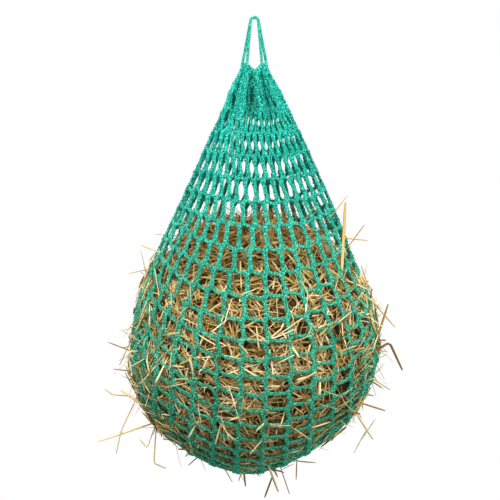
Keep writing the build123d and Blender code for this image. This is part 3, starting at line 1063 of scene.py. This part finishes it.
def mouth_run():
    """The cord's run through the gathered meshes: a flat oval inside the mouth's edge."""
    t = np.linspace(0, 2 * math.pi, 150)
    x = RUN_HALF_WIDTH * np.cos(t)
    z = MOUTH_Z - RUN_DROP + mouth_edge(x, RUN_PEAK, RUN_DIP)
    mesh = Mesh()
    round_braid(mesh, np.stack([x, RUN_HALF_DEPTH * np.sin(t), z], axis=-1), UPWARD, CORD_R)
    return mesh.object("drawcord_mouth_run", CORD)


def cord_knot():
    """The overhand knot in the cord's joined ends, hanging inside the mouth."""
    knot_z = MOUTH_Z - KNOT_DROP
    t = np.linspace(KNOT_GAP, 2 * math.pi - KNOT_GAP, 140)
    x = KNOT_SIZE * (np.sin(t) + 2 * np.sin(2 * t))
    y = -KNOT_SIZE * 1.1 * np.sin(3 * t)
    z = KNOT_SIZE * (np.cos(t) - 2 * np.cos(2 * t)) + knot_z
    mesh = Mesh()
    round_braid(mesh, np.stack([x, y, z], axis=-1), BACKWARD, CORD_R)
    # two short tails hang down from the knot, and two leads go up to the cord's run
    t = np.linspace(0, 1, 20)
    for sign in (-1, 1):
        tail = np.stack([sign * (2 + 4 * t), 1.5 * t, knot_z - 4 - 13 * t], axis=-1)
        lead = np.stack([sign * (2 + 5 * t), 8.5 * t**1.5, knot_z + 4 + 11 * t], axis=-1)
        round_braid(mesh, tail, BACKWARD, END_R)
        round_braid(mesh, lead, BACKWARD, END_R)
    return mesh.object("drawcord_knot_braided", CORD)


for name, y_sign in (("front", -1), ("back", 1)):
    mesh = Mesh()
    round_braid(mesh, loop_path(LEG_X[name], y_sign), BACKWARD, LOOP_CORD_R)
    piece = mesh.object(f"drawcord_loop_{name}", CORD)
    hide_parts(f"hanging_loop_{name}")
    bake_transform(piece)

# The cord's run turns with the meshes that it is threaded through, and the knot hangs inside them.
for piece, replaced in ((mouth_run(), "mouth_cord"), (cord_knot(), "drawcord_knot")):
    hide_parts(replaced)
    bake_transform(piece)

# --- base seam ---
SEAM_REACH = 0.93  # half length as a share of the bag's half width
SEAM_DROP = 2.0
SEAM_HALF = 4.2
SEAM_PLY_PITCH = 12.0


def base_seam():
    """The laced bottom edge, a thick braid from side to side under the bag."""
    x = np.linspace(-SEAM_REACH, SEAM_REACH, 260) * BAG_R
    z = BAG_Z - bottom_depth(x) - SEAM_DROP
    centres = np.stack([x + bottom_drift(z), np.zeros_like(x), z], axis=-1)
    mesh = Mesh()
    braid(mesh, centres, unit(centres - HAY_CENTRE), SEAM_HALF, SEAM_PLY_PITCH)
    return mesh.object("base_seam_lacing", YARN)


seam = base_seam()
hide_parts("base_seam")
ride_on_bag(seam)


# --- stage ---
# Everything from here on is in metres.
FLOOR_Z, FLOOR_REACH = -1.25, 40.0
LIT_POINT = Vector((0, 0, -0.45))
WORLD_LIGHT = 0.6  # what the world lights the net with, although it shows white
WHITE = (1, 1, 1, 1)


def seen_by_camera(tree):
    return node(tree, "LightPath", {}).outputs["Is Camera Ray"]


def shown_white(tree, shader):
    """Shows a surface as pure white, although it passes on light like the shader."""
    glow = node(tree, "Emission", {"Color": WHITE, "Strength": 1.0})
    choose = node(tree, "MixShader", {"Fac": seen_by_camera(tree)})
    tree.links.new(shader.outputs["BSDF"], choose.inputs[1])
    tree.links.new(glow.outputs["Emission"], choose.inputs[2])
    tree.links.new(choose.outputs["Shader"], tree.nodes["Material Output"].inputs["Surface"])


def pale_floor():
    """A wide pale floor that fills the picture behind the hanging net."""
    reach, z = FLOOR_REACH, FLOOR_Z
    mesh = bpy.data.meshes.new("floor")
    corners = [(-reach, -reach, z), (reach, -reach, z), (reach, reach, z), (-reach, reach, z)]
    mesh.from_pydata(corners, [], [(0, 1, 2, 3)])
    material, tree, shader = new_material("pale_floor", 0.9)
    shader.inputs["Base Color"].default_value = (0.15, 0.15, 0.15, 1)
    shown_white(tree, shader)
    mesh.materials.append(material)
    new_object("floor", mesh)


def soft_light(name, place, size, power):
    light = bpy.data.lights.new(name, "AREA")
    light.shape = "DISK"
    light.size = size
    light.energy = power
    lamp = new_object(name, light)
    lamp.location = place
    lamp.rotation_euler = (LIT_POINT - Vector(place)).to_track_quat("-Z", "Y").to_euler()


pale_floor()
soft_light("key_above", (-0.4, -2.1, 2.0), 1.7, 114)
soft_light("fill_low", (1.2, -2.6, -1.0), 1.8, 25)
soft_light("fill_right", (2.6, -0.3, 0.2), 1.8, 36)
soft_light("fill_left", (-2.6, -0.3, 0.2), 1.8, 12)
soft_light("rim_back", (-0.8, 2.4, 1.6), 1.8, 80)

world = bpy.data.worlds.new("studio")
world.use_nodes = True
world_tree = world.node_tree
backdrop = world_tree.nodes["Background"]
backdrop.inputs["Color"].default_value = WHITE
brightness = {"Value": seen_by_camera(world_tree), "To Min": WORLD_LIGHT, "To Max": 1.0}
strength = node(world_tree, "MapRange", brightness)
world_tree.links.new(strength.outputs["Result"], backdrop.inputs["Strength"])
bpy.context.scene.world = world
bpy.context.scene.view_settings.view_transform = "Standard"

# --- camera ---
CAMERA_RISE = math.radians(10)
CAMERA_DISTANCE = 6.0
SENSOR_WIDTH = 36  # in millimetres, as Blender asks for it
VIEW_WIDTH = 0.911
VIEW_CENTRE = Vector((-0.008, 0, -0.418))
camera_data = bpy.data.cameras.new("camera")
camera_data.sensor_width = SENSOR_WIDTH
camera_data.lens = SENSOR_WIDTH * CAMERA_DISTANCE / VIEW_WIDTH
camera = new_object("camera", camera_data)
back = Vector((0, -math.cos(CAMERA_RISE), math.sin(CAMERA_RISE)))
camera.location = VIEW_CENTRE + back * CAMERA_DISTANCE
camera.rotation_euler = (-back).to_track_quat("-Z", "Y").to_euler()
bpy.context.scene.camera = camera
